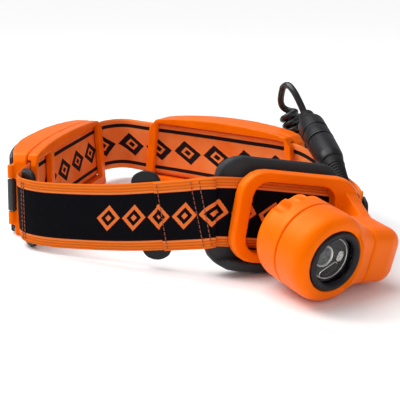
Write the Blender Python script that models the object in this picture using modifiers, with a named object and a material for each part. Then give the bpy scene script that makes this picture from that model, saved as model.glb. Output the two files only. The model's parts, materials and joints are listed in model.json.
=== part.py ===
"""Headlamp on an elastic headband, lying on a table.

A tilting lamp head hangs on a one-armed front bracket. The band runs from there through
two curved battery pods at the back of the head, and a curly cord joins the right pod to
the lamp through an inline connector. Lengths below are in millimetres; +Z is up, +X is
the wearer's left (the picture's right), and the lamp looks towards -Y.
"""

import math

import bmesh
import bpy
from mathutils import Matrix, Vector

MM = 0.001
GAP = 0.3  # between touching pieces

# Headband: the middle of the webbing, once round, from the right end of the front ring.
BAND_ROUTE = [
    (92, -57, 18.6), (80, -62, 22), (52, -72, 27.6), (21.5, -82.6, 32.7), (6, -79, 30.5),
    (-29, -65, 24.5), (-63, -51, 21.4), (-80, -42.5, 21.2), (-86.5, -33, 21.8),
    (-84.5, -20, 23.4), (-81, -2, 24.3), (-76, 24, 24.5), (-67.5, 64, 24.5), (-59, 100, 24.5),
    (-52.5, 112, 24.5), (-41, 116, 24.5), (-23, 103.5, 24.5), (7, 83, 24.5), (37, 60.5, 24.5),
    (66, 36, 24.5), (80, 15, 21.2), (87.5, -7, 18.8), (92, -30, 18.2), (94, -46, 18.2),
]
LEFT_TURN, POD_A_START, POD_A_END = 8, 9.05, 13.1
POD_B_START, POD_B_END, RIGHT_TURN = 15.93, 19.3, 22.5
STRAP_WIDTH = 35.0
STRAP_THICK = 1.6

# Front bracket: its own axes are X along the forehead, Y up, Z forward.
BRACKET_CENTRE = Vector((52, -72, 27.6))
BRACKET_YAW, BRACKET_ROLL = 20.0, 10.0
RING_LEFT, RING_RIGHT, RING_HALF_HEIGHT = -28.8, 31.0, 23.2
RING_BAR = 7.0
RING_BACK, RING_FRONT = 1.6, 8.8
PAD_LEFT, PAD_RIGHT, PAD_TOP, PAD_THICK = -36.0, 30.0, 27.5, 7.0
PAD_LIP = 6.0  # how far the lower edge curls forward

# Lamp head: X along the tilt axis towards the arm, Y up, Z out of the lens.
FACE_CENTRE = Vector((71.3, -121.3, 20.9))
HEAD_YAW, HEAD_PITCH, HEAD_ROLL = 33.0, 8.0, 10.0
TILT_AXIS_DEPTH = 13.2  # behind the face
FACE_RADIUS, BARREL_RADIUS = 18.2, 21.2
SEAM_DEPTH, HEAD_DEPTH = 17.0, 35.5
BEZEL_RADIUS, LENS_RADIUS = 14.2, 10.6
DRUM_START, DRUM_END = 22.4, 43.0
DRUM_HALF_DEPTH, DRUM_HALF_HEIGHT, DRUM_CORNER = 13.0, 14.0, 6.5
SHAFT_RADIUS = 3.4
FLUTE_ANGLES = (62, 85, 108, 131)  # round the dial, from the side the arm is on

FOOTPRINT_CENTRE = Vector((3.63, -5.16, 0))

# Battery pods: distances out from the band, heights above the table.
POD_WALL = 1.6
POD_THICK_MID, POD_THICK_END = 14.4, 7.0
POD_TOP_MID, POD_TOP_END = 48.6, 45.0
POD_CORNER = 9.0
POD_LEAN = 6.5  # each end leans in by this much at the top
POD_IN, POD_OUT = -4.8, 1.3  # inner face of the bars, and where the housing starts
DOOR_THICK = 2.0
CELL_RADIUS, CELL_LENGTH = 5.25, 44.5  # AAA
CELL_HEIGHTS = (11.3, 22.4, 33.5)

# Cord and connector.
CORD_RADIUS = 2.1
COIL_RADIUS = 7.4
CONNECTOR_TOP = Vector((75.5, 40.5, 57.6))
CONNECTOR_AXIS = Vector((12.2, -86.5, -23.6)).normalized()
COIL_ROUTE = [(76, 60, 15), (75, 61.5, 30), (72, 64, 44), (67, 66.5, 57)]
LOOP_ROUTE = [(58.3, 66.6, 50), (58.2, 66.4, 56), (59.8, 65.5, 63.5), (62.6, 62.8, 70.8),
              (65.6, 57.5, 73.9), (68.8, 52.0, 71.0), (72.0, 47.4, 65.2), CONNECTOR_TOP - 3.5 * CONNECTOR_AXIS,
              CONNECTOR_TOP - 0.35 * CONNECTOR_AXIS]
CONNECTOR_RADIUS = 8.0
BOOT_LENGTH = 85.4
LEAD_START = CONNECTOR_TOP + (BOOT_LENGTH + 0.35) * CONNECTOR_AXIS
GLAND_END = Vector((86.6, -56.4, 31.0))
GLAND_INWARD = Vector((-0.1, -0.98, -0.15))  # from the lead into the arm
LEAD_ROUTE = [LEAD_START, LEAD_START + 2.5 * CONNECTOR_AXIS, (87.6, -50.8, 32.2), GLAND_END]


# ---------------------------------------------------------------- tools

def clear_scene():
    for old in list(bpy.data.objects):
        bpy.data.objects.remove(old, do_unlink=True)


def collection(name):
    made = bpy.data.collections.new(name)
    bpy.context.scene.collection.children.link(made)
    return made


def finish_of(name, colour, roughness, metallic=0.0):
    made = bpy.data.materials.new(name)
    made.use_nodes = True
    shader = made.node_tree.nodes["Principled BSDF"]
    shader.inputs["Base Color"].default_value = (*colour, 1.0)
    shader.inputs["Roughness"].default_value = roughness
    shader.inputs["Metallic"].default_value = metallic
    return made


def add_object(name, mesh_or_curve, look, hidden=False):
    made = bpy.data.objects.new(name, mesh_or_curve)
    (CUTTERS if hidden else PARTS).objects.link(made)
    if look is not None:
        made.data.materials.append(look)
    if hidden:
        made.hide_render = True
        made.display_type = "WIRE"
    return made


def mesh_from(bm, name, smooth=True):
    bmesh.ops.recalc_face_normals(bm, faces=bm.faces)
    mesh = bpy.data.meshes.new(name)
    bm.to_mesh(mesh)
    bm.free()
    if smooth:
        mesh.shade_smooth()
        mesh.set_sharp_from_angle(angle=math.radians(35))
    return mesh


def loft(name, rings, look, closed=False, hidden=False):
    """A solid through rings of points, in millimetres, with flat end caps unless closed."""
    bm = bmesh.new()
    rows = [[bm.verts.new(Vector(p) * MM) for p in ring] for ring in rings]
    pairs = list(zip(rows, rows[1:] + rows[:1])) if closed else list(zip(rows, rows[1:]))
    for a, b in pairs:
        for i in range(len(a)):
            j = (i + 1) % len(a)
            bm.faces.new((a[i], a[j], b[j], b[i]))
    if not closed:
        bm.faces.new(rows[0])
        bm.faces.new(rows[-1])
    return add_object(name, mesh_from(bm, name), look, hidden)


def turned(name, profile, frame, look, steps=32, hidden=False):
    """A profile of (radius, height) run down its outer side, turned about the frame's Z."""
    bm = bmesh.new()
    points = [bm.verts.new(Vector((r, 0, z)) * MM) for r, z in profile]
    loop = profile[0][0] > 0 or profile[-1][0] > 0
    for a, b in zip(points, points[1:] + (points[:1] if loop else [])):
        bm.edges.new((a, b))
    mesh = bpy.data.meshes.new(name)
    bm.to_mesh(mesh)
    bm.free()
    made = add_object(name, mesh, look, hidden)
    screw = made.modifiers.new("turn", "SCREW")
    screw.steps = steps
    screw.render_steps = steps
    screw.use_merge_vertices = True
    screw.merge_threshold = 0.00001
    screw.use_smooth_shade = True
    made.matrix_world = frame
    return made


def cylinder(name, radius, low, high, frame, look, steps=24, hidden=False):
    bm = bmesh.new()
    bmesh.ops.create_cone(bm, cap_ends=True, segments=steps, radius1=radius * MM,
                          radius2=radius * MM, depth=(high - low) * MM,
                          matrix=Matrix.Translation((0, 0, (high + low) / 2 * MM)))
    made = add_object(name, mesh_from(bm, name), look, hidden)
    made.matrix_world = frame
    return made


def box(name, size, centre, frame, look, bevel=0.0, hidden=False):
    bm = bmesh.new()
    bmesh.ops.create_cube(bm, size=1.0, matrix=Matrix.Translation(Vector(centre) * MM)
                          @ Matrix.Diagonal((*(Vector(size) * MM), 1)))
    made = add_object(name, mesh_from(bm, name, smooth=False), look, hidden)
    made.matrix_world = frame
    if bevel:
        edge = made.modifiers.new("edge", "BEVEL")
        edge.width = bevel * MM
        edge.segments = 2
    return made


def boolean(target, operation, tool):
    step = target.modifiers.new(operation.lower(), "BOOLEAN")
    step.operation = operation
    step.object = tool
    step.solver = "EXACT"


def cut(target, *tools):
    for tool in tools:
        boolean(target, "DIFFERENCE", tool)


def join(target, *tools):
    for tool in tools:
        boolean(target, "UNION", tool)


def smooth_line(points, spacing):
    """Points read every so often off a smooth curve through hand-chosen ones."""
    knots = [Vector(p) for p in points]
    knots = [2 * knots[0] - knots[1]] + knots + [2 * knots[-1] - knots[-2]]
    fine = []
    for i in range(1, len(knots) - 2):
        fine += [spline_at(knots[i - 1:i + 3], k / 12) for k in range(12)]
    fine.append(knots[-2])
    lengths = [0.0]
    for a, b in zip(fine, fine[1:]):
        lengths.append(lengths[-1] + (b - a).length)
    count = max(2, round(lengths[-1] / spacing))
    line, k = [], 0
    for i in range(count + 1):
        want = lengths[-1] * i / count
        while k < len(lengths) - 2 and lengths[k + 1] < want:
            k += 1
        share = (want - lengths[k]) / (lengths[k + 1] - lengths[k])
        line.append(fine[k].lerp(fine[k + 1], min(max(share, 0.0), 1.0)))
    return line


def tube(name, points, radius, look):
    """A round cord as a curve with filled caps."""
    curve = bpy.data.curves.new(name, "CURVE")
    curve.dimensions = "3D"
    curve.bevel_depth = radius * MM
    curve.bevel_resolution = 2
    curve.use_fill_caps = True
    line = curve.splines.new("POLY")
    line.points.add(len(points) - 1)
    for spot, p in zip(line.points, points):
        spot.co = (*(Vector(p) * MM), 1.0)
    return add_object(name, curve, look)


def spline_at(four, t):
    """Catmull-Rom between the middle two of four points."""
    a, b, c, d = four
    return 0.5 * (2 * b + (c - a) * t + (2 * a - 5 * b + 4 * c - d) * t * t
                  + (3 * b - a - 3 * c + d) * t ** 3)


def axes(origin, x, y, z):
    """A frame in metres from millimetre origin and unit axes."""
    made = Matrix((x, y, z)).transposed().to_4x4()
    made.translation = Vector(origin) * MM
    return made


def tilted_axes(yaw, pitch, roll):
    """Right, up and forward of a piece that faces -Y, turned right, down and clockwise."""
    yaw, pitch, roll = (math.radians(v) for v in (yaw, pitch, roll))
    forward = Vector((math.sin(yaw) * math.cos(pitch), -math.cos(yaw) * math.cos(pitch),
                      -math.sin(pitch)))
    level = Vector((math.cos(yaw), math.sin(yaw), 0))
    upright = forward.cross(level)
    right = level * math.cos(roll) - upright * math.sin(roll)
    return right, forward.cross(right), forward


def frame_along(origin, direction):
    """A frame whose Z runs along a direction, and whose X stays level."""
    z = Vector(direction).normalized()
    x = Vector((0, 0, 1)).cross(z).normalized()
    return axes(origin, x, z.cross(x), z)


# ---------------------------------------------------------------- the band's line

def band_at(u):
    """Point, direction, up and outward direction of the band at a place in BAND_ROUTE."""
    knots = [Vector(p) for p in BAND_ROUTE]
    i, t = int(math.floor(u)), u - math.floor(u)
    four = [knots[(i + k) % len(knots)] for k in (-1, 0, 1, 2)]
    ahead = (spline_at(four, t + 0.01) - spline_at(four, t - 0.01)).normalized()
    up = (Vector((0, 0, 1)) - ahead * ahead.z).normalized()
    return spline_at(four, t), ahead, up, up.cross(ahead)


def strap(name, start, end, look, out=0.0, step=0.17, thick=STRAP_THICK, width=STRAP_WIDTH):
    """A length of webbing on the band's line, moved outward by out."""
    count = max(2, round((end - start) / step))
    rings = []
    for k in range(count + 1):
        p, _, up, side = band_at(start + (end - start) * k / count)
        rings.append([p + side * (out + a * thick / 2) + up * b * width / 2
                      for a, b in ((-1, -1), (1, -1), (1, 1), (-1, 1))])
    return loft(name, rings, look)


def slider(name, u, out, look, width=16.0, height=40.0, bar=3.0, thick=2.2, drop=0.0):
    """A three-bar slider lying on one side of the webbing."""
    p, ahead, up, side = band_at(u)
    frame = axes(p + side * out - up * drop, ahead, up, -side)
    made = box(name, (width, height, thick), (0, 0, 0), frame, look, bevel=0.6)
    slot = (width - 3 * bar) / 2
    for k in (-1, 1):
        cut(made, box(f"{name}_slot_{k + 1}", (slot, height - 2 * bar, thick + 2),
                      (k * (slot + bar) / 2, 0, 0), frame, None, hidden=True))
    return made


# ---------------------------------------------------------------- battery pods

class Pod:
    """Maps a share of a pod's length, a distance out and a height to a point."""

    def __init__(self, letter, start, end):
        self.letter = letter
        self.start, self.end = start, end
        self.length = sum((band_at(start + (end - start) * (k + 1) / 40)[0]
                           - band_at(start + (end - start) * k / 40)[0]).length
                          for k in range(40))

    def point(self, q, out, z):
        q = 0.5 + (q - 0.5) * (1 - 2 * POD_LEAN / self.length * z / POD_TOP_END)
        p, _, _, side = band_at(self.start + (self.end - self.start) * q)
        level = Vector((side.x, side.y, 0)).normalized()
        return Vector((p.x, p.y, z)) + level * out

    def middle(self, q):
        return band_at(self.start + (self.end - self.start) * q)[0].z

    def top(self, q, inset=0.0):
        c = abs(2 * q - 1)
        corner = 2 * POD_CORNER / self.length
        bend = max(0.0, (c - (1 - corner)) / corner)
        return (POD_TOP_END + (POD_TOP_MID - POD_TOP_END) * (1 - c * c) - inset
                - POD_CORNER * 0.6 * (1 - math.sqrt(max(0.0, 1 - bend * bend))))

    def thick(self, q):
        return POD_THICK_END + (POD_THICK_MID - POD_THICK_END) * (1 - abs(2 * q - 1) ** 2.4)

    def shares(self, count, start=0.0, end=1.0):
        """Shares of the length, closer together near the rounded ends."""
        spread = [0.5 - 0.5 * math.cos(math.pi * k / count) for k in range(count + 1)]
        return [start + (end - start) * (0.55 * s + 0.45 * k / count)
                for k, s in enumerate(spread)]

    def slab(self, name, inner, outer, low, high, look, count=10, start=0.0, end=1.0,
             round_out=0.0, hidden=False):
        """A curved slab; inner, outer, low and high are functions of the share."""
        rings = []
        for q in self.shares(count, start, end):
            a, b, z0, z1 = inner(q), outer(q), low(q), high(q)
            soft = min(round_out, (b - a) * 0.8, (z1 - z0) * 0.3)
            ring = [(a, z0), (b - soft * 0.5, z0), (b, z0 + soft * 0.5), (b, z1 - soft),
                    (b - soft * 0.35, z1 - soft * 0.35), (b - soft, z1), (a, z1)]
            if not soft:
                ring = [(a, z0), (b, z0), (b, z1), (a, z1)]
            rings.append([self.point(q, o, z) for o, z in ring])
        return loft(name, rings, look, hidden=hidden)


def const(value):
    return lambda q: value


def make_pod(pod, posts, door_end, looks):
    """One battery pod: strap frame, housing, door with its pin and latch, and cells."""
    orange, dark, steel, cell_look = looks
    name = f"pod_{pod.letter}"
    outer = lambda q: POD_OUT + GAP + pod.thick(q)

    frame = pod.slab(f"{name}_strap_frame", const(POD_IN), const(POD_OUT), const(0.0),
                     pod.top, orange, count=12)
    channel = STRAP_WIDTH / 2 + 1.0
    under, over = lambda q: pod.middle(q) - channel, lambda q: pod.middle(q) + channel
    cut(frame, pod.slab(f"{name}_channel", const(-1.1), const(POD_OUT + 1),
                        under, over, None, start=-0.05, end=1.05, hidden=True))
    edges = [0.0] + posts + [1.0]
    bar = 7.0 / pod.length
    for k, (a, b) in enumerate(zip(edges, edges[1:])):
        low_end = a + (bar if k == 0 else bar / 2)
        high_end = b - (bar if k == len(edges) - 2 else bar / 2)
        cut(frame, pod.slab(f"{name}_window_{k}", const(POD_IN - 1), const(-0.9),
                            lambda q: under(q) + 0.3, lambda q: over(q) - 0.3, None,
                            start=low_end, end=high_end, hidden=True))

    housing = pod.slab(f"{name}_housing", const(POD_OUT + GAP), outer, const(0.0), pod.top,
                       orange, count=12, start=0.004, end=0.996)
    cut(housing, pod.slab(f"{name}_bay", const(POD_OUT + GAP + POD_WALL),
                          lambda q: outer(q) + 3, const(3.2), lambda q: pod.top(q, 3.4), None,
                          start=0.05, end=door_end - 0.035, hidden=True))

    # The door closes the bay from outside, and turns on a pin at the pod's left end.
    hinge_out = POD_OUT + GAP + POD_THICK_END + 1.9
    foot, head = pod.point(0.0, hinge_out, 6.0), pod.point(0.0, hinge_out, 40.0)
    pin_axis = (head - foot).normalized()
    shift = (pod.point(0.02, hinge_out, 20) - pod.point(0.0, hinge_out, 20)).normalized() * 0.9
    knuckle = frame_along(foot + shift, pin_axis)
    reach = (head - foot).length
    door = pod.slab(f"{name}_door", lambda q: outer(q) + GAP,
                    lambda q: outer(q) + GAP + DOOR_THICK, const(1.2),
                    lambda q: pod.top(q, 1.6), dark, count=12, start=0.018, end=door_end,
                    round_out=1.6)
    join(door, cylinder(f"{name}_door_knuckle", 2.3, 8.4, reach - 8.4, knuckle, None, 16, True))
    cut(door, cylinder(f"{name}_door_bore", 1.0, -5, reach + 5, knuckle, None, 16, True))
    for k, (low, high) in enumerate(((0.0, 8.0), (reach - 8.0, reach))):
        lug = cylinder(f"{name}_lug_{k}", 2.3, low, high, knuckle, None, 16, True)
        join(housing, lug)
        cut(door, cylinder(f"{name}_lug_room_{k}", 2.6, low - (0.3 if k else 6),
                           high + (6 if k else 0.3), knuckle, None, 16, True))
    cut(housing, cylinder(f"{name}_lug_bore", 1.0, -0.5, reach + 0.5, knuckle, None, 16, True),
        cylinder(f"{name}_door_room", 2.6, 7.9, reach - 7.9, knuckle, None, 16, True))
    cylinder(f"{name}_hinge_pin", 0.8, 0.2, reach - 0.2, knuckle, steel, 12)

    # Latch: a thumb slide near the door's free end.
    q = door_end - 0.07
    seat = pod.point(q, outer(q) + GAP + DOOR_THICK + GAP, 23.5)
    along = (pod.point(q + 0.02, outer(q + 0.02), 23.5)
             - pod.point(q - 0.02, outer(q - 0.02), 23.5)).normalized()
    out = along.cross(Vector((0, 0, 1)))
    if out.dot(pod.point(q, 5, 23.5) - pod.point(q, 0, 23.5)) < 0:
        out = -out
    latch = axes(seat, along, out.cross(along), out)
    thumb = box(f"{name}_latch", (9, 13, 1.6), (0, 0, 0.8), latch, dark, bevel=0.5)
    for k in (-1, 0, 1):
        join(thumb, box(f"{name}_latch_rib_{k + 1}", (0.9, 9, 0.9), (k * 2.2, 0, 1.7), latch,
                        None, hidden=True))

    # Three cells side by side on a straight chord, between a spring plate and a contact plate.
    a, b = pod.point(0.5 - 0.5 * CELL_LENGTH / pod.length, 0, 23), \
        pod.point(0.5 + 0.5 * CELL_LENGTH / pod.length, 0, 23)
    way = (b - a).normalized()
    outward = Vector((-way.y, way.x, 0))
    depth = POD_OUT + GAP + POD_WALL + CELL_RADIUS + 0.25
    heart = pod.point(0.5, depth, 0)
    for k, z in enumerate(CELL_HEIGHTS):
        seat = frame_along(heart + Vector((0, 0, z)), way)
        half = CELL_LENGTH / 2
        flip = 1 if k % 2 == 0 else -1
        profile = [(0, half), (1.9, half), (1.9, half - 0.8), (CELL_RADIUS, half - 0.8),
                   (CELL_RADIUS, -half), (0, -half)]
        if flip < 0:
            profile = [(0, half), (CELL_RADIUS, half), (CELL_RADIUS, 0.8 - half),
                       (1.9, 0.8 - half), (1.9, -half), (0, -half)]
        turned(f"{name}_cell_{k + 1}", profile, seat, cell_look, 20)
    plate = axes(heart, way, Vector((0, 0, 1)), -outward)
    reach = CELL_LENGTH / 2 + GAP
    box(f"{name}_contact_plate", (0.8, 32, 8.6), (reach + 0.4, 23.3, 0.3), plate, steel)
    springs = box(f"{name}_spring_plate", (0.8, 32, 8.6), (-reach - 2.6, 23.3, 0.3), plate, steel)
    for k, z in enumerate(CELL_HEIGHTS):
        spiral = frame_along(heart + Vector((0, 0, z)) - way * (reach + 2.5), way)
        join(springs, turned(f"{name}_spring_{k}", [(0, 2.5), (1.3, 2.5), (2.6, 0), (2.6, -0.3),
                             (0, -0.3)], spiral, None, 12, True))


# ---------------------------------------------------------------- front bracket

def rounded_outline(left, right, half_height, corner, steps=4):
    """Corners of a rounded rectangle, anticlockwise in X and Y."""
    points = []
    centres = [(right - corner, half_height - corner, 0), (left + corner, half_height - corner, 90),
               (left + corner, corner - half_height, 180),
               (right - corner, corner - half_height, 270)]
    for x, y, turn in centres:
        for k in range(steps + 1):
            angle = math.radians(turn + 90 * k / steps)
            points.append((x + corner * math.cos(angle), y + corner * math.sin(angle)))
    return points


def drum_section(t, half_depth, half_height, corner, right, up, forward, pivot, steps=4):
    """A rounded rectangle across the tilt axis, at a distance along it."""
    outline = rounded_outline(-half_depth, half_depth, half_height, corner, steps)
    return [pivot + right * t + forward * x + up * y for x, y in outline]


def make_bracket(orange, dark):
    right, up, forward = tilted_axes(BRACKET_YAW, 0, BRACKET_ROLL)
    place = lambda x, y, z: BRACKET_CENTRE + right * x + up * y + forward * z
    floor = lambda x: (0.25 - BRACKET_CENTRE.z - right.z * x) / up.z

    # The pad behind the strap; its lower edge curls forward under the ring.
    rings = []
    count, mid, wide = 16, (PAD_LEFT + PAD_RIGHT) / 2, (PAD_RIGHT - PAD_LEFT) / 2
    strap_line = [band_at(0.6 + 0.05 * k)[0] - BRACKET_CENTRE for k in range(80)]
    for k in range(count + 1):
        x = mid - wide * math.cos(math.pi * k / count)
        near = min(strap_line, key=lambda p: abs(p.dot(right) - x))
        skin = min(0.0, near.dot(forward) - max(0.0, -28 - x) * 0.2) - STRAP_THICK / 2 - 2 * GAP
        into = max(0.0, 11 - (wide - abs(x - mid))) / 11
        drop = 11 * (1 - math.sqrt(max(0.0, 1 - into * into)))
        high, low = PAD_TOP - drop, max(floor(x), -29.0) + drop
        back = skin - PAD_THICK * (1 if 0 < k < count else 0.8)
        room = min(1.0, max(0.0, -RING_HALF_HEIGHT - GAP - low - 1.4) / 2)
        lip = skin + (PAD_LIP - skin) * max(0.0, 1 - into * 1.6) * room
        shelf = -RING_HALF_HEIGHT - GAP if lip > 0 else low + 2.4
        rings.append([place(x, y, z) for y, z in (
            (low + 2.2, back), (high - 2.2, back), (high - 0.6, back + 1.4),
            (high, skin - 2.0), (high - 1.0, skin), (shelf + 0.2, skin), (shelf, lip - 0.6),
            (shelf - 0.9, lip), (low + 0.3, lip - 0.8), (low, back + 2.2))])
    loft("forehead_pad", rings, dark)

    # The ring, its arm and the drum are one moulding.
    outer = rounded_outline(RING_LEFT, RING_RIGHT + 6, RING_HALF_HEIGHT, 13, 5)
    inner = rounded_outline(RING_LEFT + RING_BAR, RING_RIGHT - 8, RING_HALF_HEIGHT - 5.2, 8, 4)
    ring = loft("front_bracket", [[place(x * s, y * s, z) for x, y in outer] for s, z in
                                  ((0.975, RING_BACK), (1, RING_BACK + 1.2),
                                   (1, RING_FRONT - 2.4), (0.965, RING_FRONT))], orange)
    cut(ring, loft("bracket_window", [[place(x, y, z) for x, y in inner]
                                      for z in (RING_BACK - 2, RING_FRONT + 2)], None,
                   hidden=True))
    h_right, h_up, h_forward = tilted_axes(HEAD_YAW, HEAD_PITCH, HEAD_ROLL)
    pivot = FACE_CENTRE - h_forward * TILT_AXIS_DEPTH
    drum_frame = axes(pivot, h_up, h_forward, h_right)
    drum = loft("drum", [drum_section(t, DRUM_HALF_DEPTH * s, DRUM_HALF_HEIGHT * s,
                                      DRUM_CORNER * s, h_right, h_up, h_forward, pivot)
                         for t, s in ((DRUM_START, 0.97), (DRUM_START + 0.7, 1.0), (34.5, 0.985),
                                      (38, 0.93), (40.6, 0.83), (42.3, 0.68),
                                      (DRUM_END, 0.45))], None, hidden=True)
    root = [place(x, y, z) for x, y, z in (
        (27, -17, 2.6), (37, -14, 2.6), (39.5, 0, 2.6), (38.5, 12, 2.6), (34, 19.5, 2.6),
        (26, 20.5, 2.6), (24.5, 4, 2.6), (25, -12, 2.6))]
    sections = [root]
    for share, reach, wide, tall in ((0.4, 0, 5.6, 14.0), (0.72, 0, 5.8, 13.2),
                                     (1.0, 0, 6.4, 12.6)):
        centre = place(33.0, 2.0, 2.6).lerp(pivot + h_right * 31.0, share)
        axis_x = right.lerp(h_right, share).normalized()
        axis_y = up.lerp(h_up, share).normalized()
        sections.append([centre + axis_x * x * wide + axis_y * y * tall for x, y in (
            (-0.6, -0.98), (0.6, -0.92), (1, -0.4), (1, 0.4), (0.6, 0.95), (-0.6, 1.0),
            (-1, 0.45), (-1, -0.45))])
    arm = loft("arm", sections, None, hidden=True)
    join(ring, arm, drum)
    cut(ring, cylinder("drum_bore", 6.2, DRUM_START - 1, DRUM_START + 9, drum_frame, None, 24,
                       True),
        cylinder("drum_tip_bore", SHAFT_RADIUS + GAP, DRUM_START, DRUM_START + 12.6,
                 drum_frame, None, 20, True),
        cylinder("gland_bore", 4.0, -14, 9, frame_along(GLAND_END, GLAND_INWARD), None, 20,
                 True))
    return drum_frame


# ---------------------------------------------------------------- lamp head

def make_head(looks, drum_frame):
    orange, dark, clear, steel, board, glow = looks
    right, up, forward = tilted_axes(HEAD_YAW, HEAD_PITCH, HEAD_ROLL)
    face = axes(FACE_CENTRE, right, up, forward)
    s, wall = SEAM_DEPTH, 2.0

    shell = turned("head_front_shell", [
        (LENS_RADIUS + 4.0, 0.0), (FACE_RADIUS - 1.2, 0), (FACE_RADIUS + 0.6, -0.6),
        (FACE_RADIUS + 2.1, -2.2), (BARREL_RADIUS - 0.2, -4.6), (BARREL_RADIUS, -8),
        (BARREL_RADIUS, -s), (BARREL_RADIUS - wall, -s), (BARREL_RADIUS - wall, -4.2),
        (LENS_RADIUS + 4.0, -4.2)], face, orange, 40)
    pivot = FACE_CENTRE - forward * TILT_AXIS_DEPTH
    boss = loft("boss", [drum_section(t, DRUM_HALF_DEPTH * s, DRUM_HALF_HEIGHT * s, DRUM_CORNER,
                                      right, up, forward, pivot)
                         for t, s in ((12, 1.12), (17, 1.03), (DRUM_START - 1, 1.0),
                                      (DRUM_START - GAP, 0.97))], None, hidden=True)
    boss_back = box("boss_back", (60, 60, 40), (0, 0, -s - 20), face, None, hidden=True)
    cut(boss, boss_back, cylinder("boss_room", BARREL_RADIUS - 1.0, -s - 5, -4.2, face, None, 40,
                                  True),
        cylinder("boss_lens_room", LENS_RADIUS + 5.0, -6, 5, face, None, 40, True))
    join(shell, boss)
    cut(shell, cylinder("shaft_hole", SHAFT_RADIUS + GAP, 10, DRUM_START + 2, drum_frame, None,
                        20, True))

    bezel = BEZEL_RADIUS
    turned("bezel_ring", [(LENS_RADIUS, 0.7), (bezel - 0.8, 0.9), (bezel, 0.3), (bezel, -4.0),
                          (LENS_RADIUS + 1.6, -4.0), (LENS_RADIUS + 1.6, -1.6),
                          (LENS_RADIUS, -1.0)], face, dark, 36)
    cylinder("front_lens", LENS_RADIUS + 1.2, -3.4, -1.95, face, clear, 32)
    turned("lens_seal", [(LENS_RADIUS + 1.3, -3.7), (LENS_RADIUS + 1.3, -4.5),
                         (LENS_RADIUS - 0.6, -4.5), (LENS_RADIUS - 0.6, -3.7)], face, dark, 28)
    holder = turned("optic_holder", [(0, -8.8), (LENS_RADIUS + 5.6, -8.8),
                                     (LENS_RADIUS + 5.6, -10.6), (0, -10.6)], face, dark, 32)
    join(holder, turned("holder_rim", [(LENS_RADIUS + 1.2, -4.8), (LENS_RADIUS + 1.2, -9.2),
                                       (LENS_RADIUS - 0.6, -9.2), (LENS_RADIUS - 0.6, -4.8)],
                        face, None, 32, True),
         box("shade_bar", (10.5, 2.6, 3.6), (-0.3, -6.6, -7.2), face, None, hidden=True))
    cut(holder, cylinder("spot_hole", 4.6, -12, -2,
                         face @ Matrix.Translation((-4.4 * MM, 1.2 * MM, 0)), None, 24, True),
        box("flood_hole", (4.4, 4.4, 12), (5.8, 0.6, -8), face, None, hidden=True))
    spot = face @ Matrix.Translation((-4.4 * MM, 1.2 * MM, 0))
    turned("spot_optic", [(0, -4.9), (4.1, -5.1), (4.2, -6.0), (2.2, -10.2), (0, -10.2)],
           spot, clear, 24)
    box("spot_led", (2.6, 2.6, 0.8), (-4.4, 1.2, -10.9), face, glow)
    box("flood_led", (3.4, 3.4, 2.6), (5.8, 0.6, -10.0), face, glow)
    cylinder("led_board", 15.4, -12.8, -11.6, face, board, 28)
    sink = cylinder("heat_sink", 15.6, -16.4, -13.1, face, steel, 28)
    cut(sink, box("sink_slot_1", (40, 1.4, 2.2), (0, 4, -16.4), face, None, hidden=True),
        box("sink_slot_2", (40, 1.4, 2.2), (0, 0, -16.4), face, None, hidden=True),
        box("sink_slot_3", (40, 1.4, 2.2), (0, -4, -16.4), face, None, hidden=True))

    # The rear housing carries the dial and closes the front shell.
    outer = BARREL_RADIUS - wall - GAP
    turned("rear_housing", [(outer, -s + 1.6), (outer, -s - 0.3), (14.2, -s - 0.3),
                            (14.2, -29.5), (4.0, -29.5), (4.0, -27.6), (12.4, -27.6),
                            (12.4, -s + 0.4), (16.4, -s + 0.4), (16.4, -s + 1.6)],
           face, dark, 32)
    cylinder("driver_board", 11.6, -20.0, -18.6, face, board, 24)
    cylinder("rotary_switch", 5.0, -27.2, -20.3, face, steel, 20)
    turned("dial_seal", [(15.6, -20.4), (15.6, -22.0), (14.5, -22.0), (14.5, -20.4)], face,
           dark, 28)
    dial = turned("mode_dial", [
        (15.9, -s - 0.6), (BARREL_RADIUS - 0.15, -s - 0.6), (BARREL_RADIUS, -s - 1.2),
        (BARREL_RADIUS, -HEAD_DEPTH + 6.5), (BARREL_RADIUS - 0.9, -HEAD_DEPTH + 3.6),
        (BARREL_RADIUS - 2.8, -HEAD_DEPTH + 1.3), (BARREL_RADIUS - 5.6, -HEAD_DEPTH),
        (0, -HEAD_DEPTH), (0, -HEAD_DEPTH + 4.4),
        (15.9, -HEAD_DEPTH + 4.4)], face, orange, 40)
    for k, angle in enumerate(FLUTE_ANGLES):
        turn = Matrix.Rotation(math.radians(angle), 4, "Z")
        spot = face @ turn @ Matrix.Translation((BARREL_RADIUS * 1.0 * MM, 0, -HEAD_DEPTH * MM))
        lean = spot @ Matrix.Rotation(math.radians(-18), 4, "Y")
        cut(dial, turned(f"flute_{k}", [(0, 12.5), (2.0, 11.6), (3.1, 9.0), (3.5, 5), (3.5, -6),
                                        (0, -6)], lean, None, 14, True))
    cylinder("switch_shaft", 2.6, -HEAD_DEPTH + 4.7, -27.5, face, steel, 16)


def make_pivot(drum_frame, steel, dark):
    start = DRUM_START
    turned("pivot_bush", [(5.9, start + 0.9), (5.9, start + 8.6), (SHAFT_RADIUS + GAP, start + 8.6),
                          (SHAFT_RADIUS + GAP, start + 0.9)][::-1], drum_frame, dark, 24)
    turned("friction_washer", [(5.9, start + 0.6), (5.9, start + 0.05),
                               (SHAFT_RADIUS + GAP, start + 0.05),
                               (SHAFT_RADIUS + GAP, start + 0.6)], drum_frame, steel, 24)
    inside = BARREL_RADIUS - 1.8
    turned("pivot_shaft", [(SHAFT_RADIUS, start + 12.2), (SHAFT_RADIUS, inside), (1.5, inside),
                           (1.5, start + 12.2)], drum_frame, steel, 20)


# ---------------------------------------------------------------- cord and connector

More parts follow.
